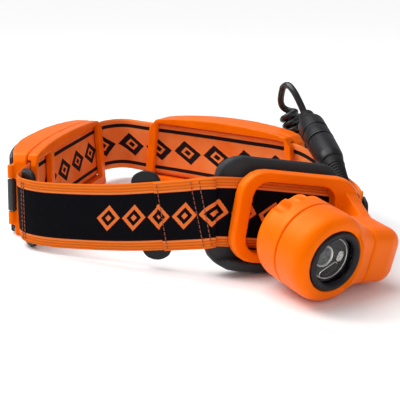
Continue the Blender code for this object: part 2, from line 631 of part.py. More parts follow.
def make_cord(black, steel):
    tube("curly_cord", smooth_line(COIL_ROUTE, 7.5), COIL_RADIUS, black)
    tube("cord_loop", smooth_line(LOOP_ROUTE, 4.4), CORD_RADIUS, black)
    tube("lamp_lead", smooth_line(LEAD_ROUTE, 4.4), CORD_RADIUS, black)
    base = Vector(COIL_ROUTE[0]) - Vector((0, 0, GAP))
    turned("pod_gland", [(0, 0), (3.0, 0), (4.6, -1.6), (5.4, -6), (5.4, -14.4), (0, -14.4)],
           axes(base, Vector((1, 0, 0)), Vector((0, 1, 0)), Vector((0, 0, 1))), black, 20)
    top, r = frame_along(CONNECTOR_TOP, -CONNECTOR_AXIS), CONNECTOR_RADIUS
    turned("socket_boot", [(0, 0), (3.9, 0), (5.0, -1.4), (5.5, -9.6), (5.9, -11), (0, -11)],
           top, black, 20)
    turned("connector_socket", [(0, -11.3), (r - 1.4, -11.3), (r, -13.2), (r, -25),
                                (r - 0.6, -25.6), (r - 0.6, -26.6), (r, -27.2), (r, -35),
                                (0, -35)], top, black, 24)
    turned("connector_ring", [(0, -35.3), (r + 0.2, -35.3), (r + 0.2, -37), (0, -37)], top,
           steel, 24)
    turned("connector_plug", [(0, -37.3), (r - 0.2, -37.3), (r, -40), (r - 0.3, -58),
                              (r - 1.6, -62), (0, -62)], top, black, 24)
    turned("plug_boot", [(0, -62.3), (6.1, -62.3), (6.2, -64), (5.4, -70), (4.9, -70.6),
                         (4.9, -72), (4.2, -78), (3.2, -BOOT_LENGTH), (0, -BOOT_LENGTH)],
           top, black, 20)
    seat = GLAND_END + GLAND_INWARD.normalized() * GAP
    turned("lamp_gland", [(0, 0), (2.6, 0), (3.0, -1.0), (3.6, -2.4), (3.6, -8.2), (0, -8.2)],
           frame_along(seat, -GLAND_INWARD), black, 20)


def make_bridge(pod_a, pod_b, dark):
    """The flexible web that carries the wires between the pods, behind the webbing."""
    rings = []
    for k in range(9):
        u = pod_a.end + 0.02 + (pod_b.start - pod_a.end - 0.04) * k / 8
        p, _, _, side = band_at(u)
        level = Vector((side.x, side.y, 0)).normalized()
        rings.append([Vector((p.x, p.y, z)) + level * o for o, z in (
            (2.2, 12), (4.6, 12), (4.6, 37), (2.2, 37))])
    return loft("pod_bridge", rings, dark)


# ---------------------------------------------------------------- build

clear_scene()
PARTS = collection("headlamp")
CUTTERS = collection("headlamp_cutters")

ORANGE = finish_of("orange_plastic", (1.0, 0.155, 0.008), 0.38)
DARK = finish_of("dark_rubber", (0.035, 0.037, 0.042), 0.7)
BLACK = finish_of("black_cord", (0.012, 0.012, 0.014), 0.5)
WEBBING = finish_of("webbing", (0.02, 0.015, 0.015), 0.9)
CLEAR = finish_of("clear_lens", (0.8, 0.85, 0.9), 0.05)
STEEL = finish_of("steel", (0.55, 0.56, 0.58), 0.3, 1.0)
BOARD = finish_of("circuit_board", (0.02, 0.2, 0.07), 0.5)
GLOW = finish_of("led", (0.9, 0.85, 0.4), 0.4)
CELL = finish_of("cell_jacket", (0.1, 0.16, 0.3), 0.3)

POD_A = Pod("a", POD_A_START, POD_A_END)
POD_B = Pod("b", POD_B_START, POD_B_END)

strap("front_strap", 1.05, LEFT_TURN - 0.02, WEBBING)
strap("rear_strap", LEFT_TURN + 0.03, RIGHT_TURN + 1.83, WEBBING)
strap("strap_tail", 3.15, 4.45, WEBBING, out=STRAP_THICK + GAP)
slider("left_slider", LEFT_TURN - 0.55, -STRAP_THICK - 2.9, DARK, width=14.0, height=41.6)
slider("near_slider", 4.6, -STRAP_THICK - 0.6, DARK, height=43.0)
slider("right_slider", RIGHT_TURN + 0.9, STRAP_THICK + 0.6, DARK, height=30.0, drop=2.8)
make_pod(POD_A, [0.34], 0.985, (ORANGE, DARK, STEEL, CELL))
make_pod(POD_B, [], 0.82, (ORANGE, DARK, STEEL, CELL))
make_bridge(POD_A, POD_B, DARK)
DRUM = make_bracket(ORANGE, DARK)
make_pivot(DRUM, STEEL, DARK)
make_head((ORANGE, DARK, CLEAR, STEEL, BOARD, GLOW), DRUM)
make_cord(BLACK, STEEL)

# Centre the part's footprint, cord apart, on the origin.
for piece in list(PARTS.objects) + list(CUTTERS.objects):
    piece.matrix_world = Matrix.Translation(-FOOTPRINT_CENTRE * MM) @ piece.matrix_world
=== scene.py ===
import json
import math

import bmesh
import bpy
from mathutils import Matrix, Vector
from mathutils.bvhtree import BVHTree


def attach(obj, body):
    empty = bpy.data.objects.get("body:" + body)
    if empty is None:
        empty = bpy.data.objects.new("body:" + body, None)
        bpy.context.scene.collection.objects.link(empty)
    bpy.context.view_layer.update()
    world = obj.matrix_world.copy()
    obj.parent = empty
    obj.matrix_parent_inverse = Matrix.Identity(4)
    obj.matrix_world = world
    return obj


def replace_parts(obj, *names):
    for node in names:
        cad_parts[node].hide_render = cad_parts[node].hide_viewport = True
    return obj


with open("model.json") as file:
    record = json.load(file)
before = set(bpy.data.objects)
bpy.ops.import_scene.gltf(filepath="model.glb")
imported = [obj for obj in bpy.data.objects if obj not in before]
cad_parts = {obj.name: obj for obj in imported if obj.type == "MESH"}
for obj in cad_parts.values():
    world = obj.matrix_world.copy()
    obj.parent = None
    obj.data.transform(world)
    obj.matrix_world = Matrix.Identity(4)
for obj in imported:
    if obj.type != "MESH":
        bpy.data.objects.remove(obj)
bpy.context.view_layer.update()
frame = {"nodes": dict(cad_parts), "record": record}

NODES = frame["nodes"]
MM = 0.001

# Millimetres, measured from a corner of the band; FOOT brings them to the part's own origin.
FOOT = Vector((3.63, -5.16, 0))
BAND_ROUTE = [
    (92, -57, 18.6), (80, -62, 22), (52, -72, 27.6), (21.5, -82.6, 32.7), (6, -79, 30.5),
    (-29, -65, 24.5), (-63, -51, 21.4), (-80, -42.5, 21.2), (-86.5, -33, 21.8),
    (-84.5, -20, 23.4), (-81, -2, 24.3), (-76, 24, 24.5), (-67.5, 64, 24.5), (-59, 100, 24.5),
    (-52.5, 112, 24.5), (-41, 116, 24.5), (-23, 103.5, 24.5), (7, 83, 24.5), (37, 60.5, 24.5),
    (66, 36, 24.5), (80, 15, 21.2), (87.5, -7, 18.8), (92, -30, 18.2), (94, -46, 18.2)]
POD_A, POD_B = (9.05, 13.1), (15.93, 19.3)
STRAP_WIDTH, STRAP_THICK = 35.0, 1.6

FACE_CENTRE = Vector((71.3, -121.3, 20.9))
HEAD_YAW, HEAD_PITCH, HEAD_ROLL = 33, 8, 10
TILT_AXIS_DEPTH = 13.2
FACE_RADIUS, BARREL_RADIUS, SEAM_DEPTH, HEAD_DEPTH = 18.2, 21.2, 17.0, 35.5
BEZEL_RADIUS, LENS_RADIUS = 14.2, 10.6
SCOOP_ANGLES = (62, 85, 108, 131)
DRUM_START, DRUM_HALF_DEPTH, DRUM_HALF_HEIGHT, DRUM_CORNER = 22.4, 13.0, 14.0, 6.5
SHAFT_RADIUS = 3.4

CORD_DIAMETER = 4.2
COIL_MEAN = 5.3
COIL_TURNS, TURN_STEPS = 9.25, 16
COIL_END = 0.25  # share of a turn, so that the top turn ends on the left
COIL_ROUTE = [(76, 60, 15), (75, 61.5, 30), (72, 64, 44), (67, 66.5, 57)]
CONNECTOR_TOP = Vector((75.5, 40.5, 57.6))
CONNECTOR_AXIS = Vector((12.2, -86.5, -23.6)).normalized()
CONNECTOR_RADIUS, BOOT_LENGTH = 8.0, 85.4
LOOP_ROUTE = [(58.3, 66.6, 50), (58.2, 66.4, 56), (59.8, 65.5, 63.5), (62.6, 62.8, 70.8),
              (65.6, 57.5, 73.9), (68.8, 52.0, 71.0), (72.0, 47.4, 65.2),
              CONNECTOR_TOP - 3.5 * CONNECTOR_AXIS, CONNECTOR_TOP - 0.35 * CONNECTOR_AXIS]
LEAD_START = CONNECTOR_TOP + (BOOT_LENGTH + 0.35) * CONNECTOR_AXIS
GLAND_END = Vector((86.6, -56.4, 31.0))
LEAD_ROUTE = [LEAD_START, LEAD_START + 2.5 * CONNECTOR_AXIS, (87.6, -50.8, 32.2), GLAND_END]


# ---------------------------------------------------------------- places and lines

def at(point):
    """A point in metres from the part's own origin."""
    return (Vector(point) - FOOT) * MM


def axes(origin, x, y, z):
    made = Matrix((x, y, z)).transposed().to_4x4()
    made.translation = at(origin)
    return made


def tilted_axes(yaw, pitch, roll):
    yaw, pitch, roll = (math.radians(v) for v in (yaw, pitch, roll))
    forward = Vector((math.sin(yaw) * math.cos(pitch), -math.cos(yaw) * math.cos(pitch),
                      -math.sin(pitch)))
    level = Vector((math.cos(yaw), math.sin(yaw), 0))
    upright = forward.cross(level)
    right = level * math.cos(roll) - upright * math.sin(roll)
    return right, forward.cross(right), forward


def frame_along(origin, direction):
    z = Vector(direction).normalized()
    x = Vector((0, 0, 1)).cross(z).normalized()
    return axes(origin, x, z.cross(x), z)


def spline_at(four, t):
    a, b, c, d = four
    return 0.5 * (2 * b + (c - a) * t + (2 * a - 5 * b + 4 * c - d) * t * t
                  + (3 * b - a - 3 * c + d) * t ** 3)


def smooth_line(points, spacing):
    """Evenly spaced points on a smooth curve through given ones."""
    knots = [Vector(p) for p in points]
    knots = [2 * knots[0] - knots[1]] + knots + [2 * knots[-1] - knots[-2]]
    fine = []
    for i in range(1, len(knots) - 2):
        fine += [spline_at(knots[i - 1:i + 3], k / 16) for k in range(16)]
    fine.append(knots[-2])
    lengths = [0.0]
    for a, b in zip(fine, fine[1:]):
        lengths.append(lengths[-1] + (b - a).length)
    count, line, k = max(2, round(lengths[-1] / spacing)), [], 0
    for i in range(count + 1):
        want = lengths[-1] * i / count
        while k < len(lengths) - 2 and lengths[k + 1] < want:
            k += 1
        share = (want - lengths[k]) / (lengths[k + 1] - lengths[k])
        line.append(fine[k].lerp(fine[k + 1], min(max(share, 0.0), 1.0)))
    return line


def band_at(u):
    """Point, direction, up and outward direction of the band."""
    knots = [Vector(p) for p in BAND_ROUTE]
    i, t = int(math.floor(u)), u - math.floor(u)
    four = [knots[(i + k) % len(knots)] for k in (-1, 0, 1, 2)]
    ahead = (spline_at(four, t + 0.01) - spline_at(four, t - 0.01)).normalized()
    up = (Vector((0, 0, 1)) - ahead * ahead.z).normalized()
    return spline_at(four, t), ahead, up, up.cross(ahead)


def band_steps(start, end, spacing):
    """Places along the band about a spacing apart, each with its distance from the start."""
    places, gone, last, u = [(start, 0.0)], 0.0, band_at(start)[0], start
    since = 0.0
    while u < end - 1e-6:
        u = min(end, u + 0.004)
        p = band_at(u)[0]
        since += (p - last).length
        gone += (p - last).length
        last = p
        if since >= spacing or u >= end - 1e-6:
            places.append((u, gone))
            since = 0.0
    return places


# ---------------------------------------------------------------- materials

class Look:
    """A node material; each call adds one node and returns the socket it feeds from."""

    def __init__(self, name, colour, roughness, **sockets):
        self.material = bpy.data.materials.new(name)
        self.material.use_nodes = True
        self.tree = self.material.node_tree
        self.shader = self.tree.nodes["Principled BSDF"]
        self.shader.inputs["Base Color"].default_value = (*colour, 1)
        self.shader.inputs["Roughness"].default_value = roughness
        for socket, value in sockets.items():
            self.shader.inputs[socket.replace("_", " ")].default_value = value
        self.colour, self.roughness = colour, roughness

    def node(self, kind, out=0, settings=(), **inputs):
        made = self.tree.nodes.new("ShaderNode" + kind)
        for key, value in dict(settings).items():
            setattr(made, key, value)
        for key, value in inputs.items():
            socket = made.inputs[int(key[1:]) if key[1:].isdigit() else key.replace("_", " ")]
            if isinstance(value, bpy.types.NodeSocket):
                self.tree.links.new(value, socket)
            else:
                socket.default_value = value
        return made.outputs[out]

    def sum(self, operation, a, b=0.0, c=0.0):
        return self.node("Math", settings={"operation": operation}, i0=a, i1=b, i2=c)

    def place(self, stretch=None):
        spot = self.node("TexCoord", out="Object")
        if stretch:
            spot = self.node("Mapping", Vector=spot, Scale=stretch)
        return spot

    def noise(self, scale, detail=3.0, where=None, roughness=0.55):
        return self.node("TexNoise", Vector=where or self.place(), Scale=scale, Detail=detail,
                         Roughness=roughness)

    def between(self, value, low, high, to_low=0.0, to_high=1.0):
        return self.node("MapRange", i0=value, i1=low, i2=high, i3=to_low, i4=to_high)

    def mix(self, share, a, b):
        as_colour = lambda c: c if isinstance(c, bpy.types.NodeSocket) else (*c, 1)
        return self.node("Mix", out=2, settings={"data_type": "RGBA"}, i0=share,
                         i6=as_colour(a), i7=as_colour(b))

    def bump(self, height, distance, normal=None):
        extra = {"Normal": normal} if normal else {}
        return self.node("Bump", Height=height, Distance=distance, Strength=1.0, **extra)

    def feed(self, **inputs):
        for socket, value in inputs.items():
            self.tree.links.new(value, self.shader.inputs[socket.replace("_", " ")])
        return self

    def rounded(self, radius):
        return self.node("Bevel", settings={"samples": 4}, Radius=radius)

    def edges(self, radius):
        """How near a sharp edge is, from 0 to 1."""
        soft = self.node("Bevel", settings={"samples": 4}, Radius=radius)
        hard = self.node("NewGeometry", out="Normal")
        match = self.node("VectorMath", out="Value", settings={"operation": "DOT_PRODUCT"},
                          i0=soft, i1=hard)
        return self.between(match, 0.995, 0.86)


def scaled(colour, by):
    return tuple(min(1.0, c * by) for c in colour)


def moulded(name, colour, roughness, grain=0.0006, depth=0.00002, round_edge=0.0005,
            spread=0.12, wear=0.25, worn=None, **sockets):
    """Moulded plastic or rubber: fine grain, faint mottling, handling marks and paler edges."""
    look = Look(name, colour, roughness, **sockets)
    fine = look.noise(1 / grain, 2.0)
    broad = look.noise(38.0, 4.0)
    marks = look.noise(150.0, 5.0, look.place((1.0, 1.0, 0.35)), 0.7)
    tone = look.mix(look.between(broad, 0.3, 0.7), scaled(colour, 1 - spread),
                    scaled(colour, 1 + spread))
    tone = look.mix(look.between(fine, 0.35, 0.75, 0.0, 0.16), tone, scaled(colour, 0.72))
    edge = look.sum("MULTIPLY", look.edges(round_edge * 1.6),
                    look.between(marks, 0.42, 0.62, 0.0, wear))
    tone = look.mix(edge, tone, worn or scaled(colour, 1.7))
    rough = look.sum("ADD", look.between(marks, 0.35, 0.7, roughness - 0.06, roughness + 0.09),
                     look.between(broad, 0.3, 0.7, -0.03, 0.03))
    return look.feed(Base_Color=tone, Roughness=rough,
                     Normal=look.bump(fine, depth, look.rounded(round_edge))).material


def brushed(name, colour, roughness, stretch=(1, 1, 30)):
    look = Look(name, colour, roughness, Metallic=1.0)
    lines = look.noise(900.0, 3.0, look.place(stretch))
    blotch = look.noise(90.0, 4.0)
    return look.feed(
        Base_Color=look.mix(look.between(blotch, 0.3, 0.7), scaled(colour, 0.78), colour),
        Roughness=look.between(lines, 0.3, 0.7, roughness - 0.08, roughness + 0.14),
        Normal=look.bump(lines, 0.000012, look.rounded(0.0003))).material


def glassy(name, colour, rings=0.0, index=1.49):
    look = Look(name, colour, 0.02, IOR=index, Transmission_Weight=1.0)
    dust = look.noise(700.0, 4.0, roughness=0.7)
    look.feed(Roughness=look.between(dust, 0.6, 0.85, 0.0, 0.06))
    height = look.noise(60.0, 2.0)
    if rings:
        height = look.node("TexWave", settings={"wave_type": "RINGS", "rings_direction": "Z"},
                           Vector=look.place(), Scale=rings)
    return look.feed(Normal=look.bump(height, 0.00006 if rings else 0.00001)).material


def printed_board():
    look = Look("board_finish", (0.02, 0.16, 0.07), 0.35, Coat_Weight=0.6)
    tracks = look.node("TexBrick", out="Fac", Vector=look.place(), Scale=420.0, Mortar_Size=0.03)
    pads = look.node("TexVoronoi", Vector=look.place(), Scale=420.0)
    tone = look.mix(look.between(tracks, 0.2, 0.8), (0.012, 0.12, 0.05), (0.03, 0.27, 0.11))
    tone = look.mix(look.between(pads, 0.14, 0.1), tone, (0.75, 0.72, 0.6))
    return look.feed(Base_Color=tone, Normal=look.bump(tracks, 0.00003)).material


def phosphor():
    look = Look("led_finish", (0.95, 0.86, 0.38), 0.45, Coat_Weight=0.8)
    grains = look.node("TexVoronoi", Vector=look.place(), Scale=3800.0)
    tone = look.mix(look.between(grains, 0.0, 0.6), (1.0, 0.93, 0.5), (0.85, 0.7, 0.16))
    return look.feed(Base_Color=tone, Normal=look.bump(grains, 0.00003)).material


def cell_sleeve():
    look = Look("cell_finish", (0.08, 0.13, 0.26), 0.28, Coat_Weight=0.5)
    height = look.node("SeparateXYZ", out="Z", Vector=look.place())
    bands = look.node("TexWave", settings={"bands_direction": "X"}, Vector=look.place(),
                      Scale=16.0, Distortion=0.2)
    scuffs = look.noise(320.0, 5.0, roughness=0.75)
    tone = look.mix(look.between(bands, 0.47, 0.53), (0.07, 0.12, 0.25), (0.62, 0.65, 0.7))
    tone = look.mix(look.between(scuffs, 0.6, 0.75, 0.0, 0.4), tone, (0.8, 0.8, 0.82))
    return look.feed(Base_Color=tone, Roughness=look.between(height, 0.0, 0.05, 0.25, 0.33),
                     Normal=look.bump(scuffs, 0.00001, look.rounded(0.0003))).material


WEB_BLACK, WEB_ORANGE = (0.0022, 0.0022, 0.0040), (0.94, 0.185, 0.016)
WEB_SALMON, WEB_PALE = (0.96, 0.165, 0.022), (0.97, 0.25, 0.065)


def webbing(name, outside):
    """Jacquard elastic: warp cords along it, fine picks across it, woven borders and lozenges."""
    look = Look(name, WEB_ORANGE, 0.88, Sheen_Weight=0.012, Sheen_Roughness=0.4,
                Specular_IOR_Level=0.06)
    uv = look.node("UVMap", settings={"uv_map": "weave"})
    along = look.node("SeparateXYZ", out="X", Vector=uv)
    across = look.node("SeparateXYZ", out="Y", Vector=uv)
    from_edge = look.sum("SUBTRACT", STRAP_WIDTH / 2,
                         look.sum("ABSOLUTE", look.sum("SUBTRACT", across, STRAP_WIDTH / 2)))
    from_mid = look.sum("ABSOLUTE", look.sum("SUBTRACT", across, STRAP_WIDTH / 2))
    picks = look.sum("SINE", look.sum("MULTIPLY", along, 2 * math.pi / 0.9))
    ends = look.sum("SINE", look.sum("MULTIPLY", across, 2 * math.pi / 0.7))
    cell = look.sum("MULTIPLY", picks, ends)
    fuzz = look.noise(0.9, 4.0, uv, 0.7)
    blot = look.noise(0.05, 3.0, uv)

    def lozenges(pitch, tall, rim, slant, last):
        """Rows of nested lozenges; 1 where the figure's thread shows."""
        spot = look.sum("ADD", along, look.sum("MULTIPLY", look.sum("SUBTRACT", across, 17.5),
                                               slant))
        phase = look.sum("SUBTRACT", look.sum("FRACT", look.sum("DIVIDE", spot, pitch)), 0.5)
        side = look.sum("MULTIPLY", look.sum("ABSOLUTE", phase), 2.0)
        reach = look.sum("ADD", side, look.sum("DIVIDE", from_mid, tall))
        reach = look.sum("ADD", reach, look.sum("MULTIPLY", cell, 0.02))
        solid = look.sum("LESS_THAN", reach, 0.92)
        hole = look.sum("LESS_THAN", reach, 0.92 - rim)
        core = look.sum("LESS_THAN", reach, 0.24)
        figure = look.sum("MAXIMUM", look.sum("SUBTRACT", solid, hole), core)
        return look.sum("MULTIPLY", figure, look.sum("LESS_THAN", spot, last))

    if outside:
        border = look.between(from_edge, 5.5, 5.2)
        stripe = look.sum("MULTIPLY", look.between(from_edge, 4.2, 4.4),
                          look.between(from_edge, 5.4, 5.2))
        ribs = look.sum("SINE", look.sum("MULTIPLY", from_edge, 2 * math.pi / 1.45))
        orange = look.mix(look.between(ribs, -0.6, 0.8), scaled(WEB_ORANGE, 0.72), WEB_ORANGE)
        orange = look.mix(look.sum("MULTIPLY", stripe, 0.8), orange, WEB_PALE)
        tone = look.mix(border, WEB_BLACK, orange)
        pale = look.mix(look.between(cell, -0.7, 0.7), scaled(WEB_SALMON, 0.8), WEB_PALE)
        figure = look.sum("MULTIPLY", lozenges(14.5, 7.4, 0.34, 0.25, 130.5),
                          look.sum("SUBTRACT", 1.0, border))
        tone = look.mix(figure, tone, pale)
        relief = look.sum("MULTIPLY", ribs, look.sum("MULTIPLY", border, 0.6))
    else:
        lines = look.sum("MULTIPLY", look.between(from_edge, 3.3, 3.5),
                         look.between(from_edge, 5.9, 5.7))
        salmon = look.mix(look.between(blot, 0.35, 0.65), WEB_SALMON, WEB_PALE)
        figure = look.sum("MAXIMUM", lozenges(24.0, 8.6, 0.46, 0.35, 9000.0), lines)
        tone = look.mix(figure, salmon, (0.016, 0.008, 0.009))
        relief = look.sum("MULTIPLY", figure, -0.5)
    tone = look.mix(look.between(cell, -1.0, 1.0, 0.0, 0.22), tone, (0.002, 0.001, 0.001))
    tone = look.mix(look.between(fuzz, 0.6, 0.9, 0.0, 0.05), tone, (0.7, 0.35, 0.2))
    height = look.sum("ADD", look.sum("MULTIPLY", cell, 0.5),
                      look.sum("ADD", relief, look.sum("MULTIPLY", fuzz, 0.6)))
    return look.feed(Base_Color=tone, Normal=look.bump(height, 0.00016)).material


WARM = (1.0, 0.6, 0.06, 1.0)  # keeps the highlights on the orange mouldings golden
ORANGE = moulded("orange_finish", (0.93, 0.142, 0.0), 0.4, spread=0.07, wear=0.2,
                 worn=(1.0, 0.32, 0.03), depth=0.000012, Specular_IOR_Level=0.25,
                 Specular_Tint=WARM)
POD_ORANGE = moulded("pod_orange_finish", (0.92, 0.135, 0.0005), 0.38, spread=0.08, wear=0.2,
                     worn=(1.0, 0.34, 0.06), grain=0.0008, depth=0.00002,
                     Specular_IOR_Level=0.25, Specular_Tint=WARM)
PAD_GREY = moulded("pad_finish", (0.016, 0.018, 0.021), 0.66, grain=0.0007, depth=0.00006,
                   round_edge=0.0012, Specular_IOR_Level=0.35, wear=0.2,
                   worn=(0.07, 0.07, 0.075))
BLACK_PLASTIC = moulded("black_plastic_finish", (0.009, 0.009, 0.011), 0.42, depth=0.00002,
                        worn=(0.04, 0.04, 0.045), wear=0.5, Specular_IOR_Level=0.2)
BLACK_SATIN = moulded("bezel_finish", (0.009, 0.009, 0.011), 0.34, depth=0.000008,
                      worn=(0.04, 0.036, 0.033), wear=0.4, Specular_IOR_Level=0.2)
RUBBER = moulded("rubber_finish", (0.006, 0.006, 0.007), 0.5, depth=0.00003, wear=0.3,
                 worn=(0.025, 0.025, 0.025), Specular_IOR_Level=0.14)
GLOSS_BLACK = moulded("connector_finish", (0.006, 0.006, 0.008), 0.36, depth=0.00001,
                      wear=0.4, worn=(0.04, 0.04, 0.045), Specular_IOR_Level=0.2)
CORD_BLACK = moulded("cord_finish", (0.006, 0.006, 0.008), 0.3, grain=0.0009,
                     depth=0.000015, wear=0.0, Specular_IOR_Level=0.45)
HOUSING = moulded("housing_finish", (0.030, 0.031, 0.034), 0.5, depth=0.00004, wear=0.5,
                  worn=(0.12, 0.12, 0.125))
CLEAR = glassy("lens_finish", (0.97, 0.98, 1.0), index=1.18)
OPTIC = glassy("optic_finish", (0.98, 0.99, 1.0), rings=1500.0)
STEEL = brushed("steel_finish", (0.62, 0.62, 0.63), 0.3)
GUNMETAL = brushed("gunmetal_finish", (0.055, 0.056, 0.06), 0.3)
NICKEL = brushed("contact_finish", (0.78, 0.75, 0.68), 0.24, (30, 1, 1))
SINK = brushed("sink_finish", (0.42, 0.43, 0.45), 0.42, (1, 30, 1))
BOARD, LED, CELL = printed_board(), phosphor(), cell_sleeve()
WEB_OUT, WEB_IN = webbing("webbing_outside", True), webbing("webbing_inside", False)
THREAD = moulded("thread_finish", (0.30, 0.045, 0.010), 0.8, grain=0.0003, depth=0.00005,
                 wear=0.0, Sheen_Weight=0.3)

DEFAULTS = {
    "orange_plastic": ORANGE, "dark_rubber": BLACK_PLASTIC, "black_cord": RUBBER,
    "clear_lens": CLEAR, "steel": STEEL, "circuit_board": BOARD, "led": LED,
    "cell_jacket": CELL, "webbing": WEB_OUT}
SPECIAL = {
    "forehead_pad": PAD_GREY, "optic_holder": BLACK_SATIN, "spot_optic": OPTIC,
    "heat_sink": SINK, "lens_seal": RUBBER, "dial_seal": RUBBER, "rear_housing": HOUSING,
    "pod_bridge": RUBBER, "friction_washer": NICKEL}
for letter in "ab":
    SPECIAL[f"pod_{letter}_door"] = HOUSING
for entry in frame["record"]["subparts"]:
    node, look = entry["node"], DEFAULTS[entry["material_slot"]]
    if node.startswith("pod_") and node[6:] in ("strap_frame", "housing"):
        look = POD_ORANGE
    if node.endswith(("contact_plate", "spring_plate")):
        look = NICKEL
    look = SPECIAL.get(node, look)
    NODES[node].data.materials.clear()
    NODES[node].data.materials.append(look)


# ---------------------------------------------------------------- making pieces

def piece(name, mesh, looks, body, *stands_for):
    made = bpy.data.objects.new(name, mesh)
    bpy.context.scene.collection.objects.link(made)
    if mesh.materials:
        mesh.materials.clear()
    for look in looks if isinstance(looks, (list, tuple)) else [looks]:
        mesh.materials.append(look)
    for face in mesh.polygons:
        face.use_smooth = True
    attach(made, body)
    if stands_for:
        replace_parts(made, *stands_for)
    return made


def finished(bm, name):
    bmesh.ops.recalc_face_normals(bm, faces=bm.faces)
    mesh = bpy.data.meshes.new(name)
    bm.to_mesh(mesh)
    bm.free()
    return mesh


def loft(name, rings, looks, body, *stands_for):
    """A closed skin through rings of points in metres."""
    bm = bmesh.new()
    rows = [[bm.verts.new(p) for p in ring] for ring in rings]
    n = len(rows[0])
    for a, b in zip(rows, rows[1:]):
        for k in range(n):
            bm.faces.new((a[k], a[(k + 1) % n], b[(k + 1) % n], b[k]))
    bm.faces.new(rows[0][::-1])
    bm.faces.new(rows[-1])
    return piece(name, finished(bm, name), looks, body, *stands_for)


def filleted(profile, radius, steps=4):
    """An open profile with its corners rounded."""
    points = [Vector(p) for p in profile]
    made = [points[0]]
    for a, b, c in zip(points, points[1:], points[2:]):
        reach = min(radius, (a - b).length * 0.45, (c - b).length * 0.45)
        start, end = b + (a - b).normalized() * reach, b + (c - b).normalized() * reach
        for k in range(steps + 1):
            t = k / steps
            made.append(start * (1 - t) ** 2 + b * 2 * t * (1 - t) + end * t * t)
    return made + [points[-1]]


def close_spaced(profile, spacing):
    made = []
    for a, b in zip(profile, profile[1:]):
        count = max(1, math.ceil((b - a).length / spacing))
        made += [a.lerp(b, k / count) for k in range(count)]
    return made + [profile[-1]]


def turned(name, profile, place, looks, body, *stands_for, radius=0.5, steps=120, spacing=0,
           shape=None):
    """A turned piece; profile is (radius, height) from one end to the other, in millimetres."""
    closed = profile[0][0] > 0
    loop = list(profile) + ([profile[0]] if closed else [])
    outline = filleted(loop, radius)
    if spacing:
        outline = close_spaced(outline, spacing)
    if closed:
        outline = outline[:-1]
    bm = bmesh.new()
    rows = []
    for r, z in outline:
        if r < 1e-6:
            rows.append([bm.verts.new(place @ Vector((0, 0, z * MM)))])
            continue
        row = []
        for k in range(steps):
            turn = 2 * math.pi * k / steps
            reach = (shape(turn, r, z) if shape else r) * MM
            row.append(bm.verts.new(place @ Vector((reach * math.cos(turn),
                                                    reach * math.sin(turn), z * MM))))
        rows.append(row)
    for a, b in zip(rows, rows[1:] + (rows[:1] if closed else [])):
        for k in range(steps):
            quad = [a[k % len(a)], a[(k + 1) % len(a)], b[(k + 1) % len(b)], b[k % len(b)]]
            quad = list(dict.fromkeys(quad))
            if len(quad) > 2:
                bm.faces.new(quad)
    return piece(name, finished(bm, name), looks, body, *stands_for)


def softened(node, voxel, rounds, look, body, source=None):
    """The node's own shape with its edges eased as moulding leaves them."""
    bm = bmesh.new()
    bm.from_mesh(source or NODES[node].data)
    bmesh.ops.remove_doubles(bm, verts=bm.verts, dist=1e-6)
    raw = bpy.data.objects.new(node + "_raw", finished(bm, node + "_raw"))
    bpy.context.scene.collection.objects.link(raw)
    grid = raw.modifiers.new("grid", "REMESH")
    grid.mode, grid.voxel_size = "VOXEL", voxel * MM
    ease = raw.modifiers.new("ease", "SMOOTH")
    ease.factor, ease.iterations = 0.5, rounds
    done = bpy.data.meshes.new_from_object(
        raw.evaluated_get(bpy.context.evaluated_depsgraph_get()))
    bpy.data.objects.remove(raw)
    return piece(node + "_skin", done, look, body, node)


def cord_curve(name, points, body, *stands_for):
    curve = bpy.data.curves.new(name, "CURVE")
    curve.dimensions = "3D"
    curve.bevel_depth = CORD_DIAMETER / 2 * MM
    curve.bevel_resolution = 5
    curve.use_fill_caps = True
    line = curve.splines.new("POLY")
    line.points.add(len(points) - 1)
    for spot, p in zip(line.points, points):
        spot.co = (*at(p), 1.0)
    line.use_smooth = True
    curve.materials.append(CORD_BLACK)
    made = bpy.data.objects.new(name, curve)
    bpy.context.scene.collection.objects.link(made)
    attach(made, body)
    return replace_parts(made, *stands_for)


# ---------------------------------------------------------------- camera

eye = bpy.data.cameras.new("camera")
eye.lens, eye.sensor_width, eye.clip_start, eye.clip_end = 79.56, 36.0, 0.01, 20.0
camera = bpy.data.objects.new("camera", eye)
bpy.context.scene.collection.objects.link(camera)
camera.location = at((11, -492, 153))
camera.rotation_euler = (math.radians(90 - 15.6), 0, 0)
bpy.context.scene.camera = camera


# ---------------------------------------------------------------- cord and connector

def coil_line():
    """The wound part: from the gland out to the turns and up them."""
    spine = smooth_line(COIL_ROUTE, 0.5)
    count, made = int(COIL_TURNS * TURN_STEPS), []
    for k in range(count + 1):
        t = k / count
        spot = t * (len(spine) - 1)
        i = min(int(spot), len(spine) - 2)
        p = spine[i].lerp(spine[i + 1], spot - i)
        ahead = (spine[i + 1] - spine[i]).normalized()
        x = Vector((0, 1, 0)).cross(ahead).normalized()
        y = ahead.cross(x)
        ease = min(1.0, t * COIL_TURNS / 0.7)
        reach = COIL_MEAN * ease * ease * (3 - 2 * ease)
        turn = 2 * math.pi * (COIL_TURNS * t + COIL_END)
        made.append(p + (x * math.cos(turn) + y * math.sin(turn)) * reach)
    return made


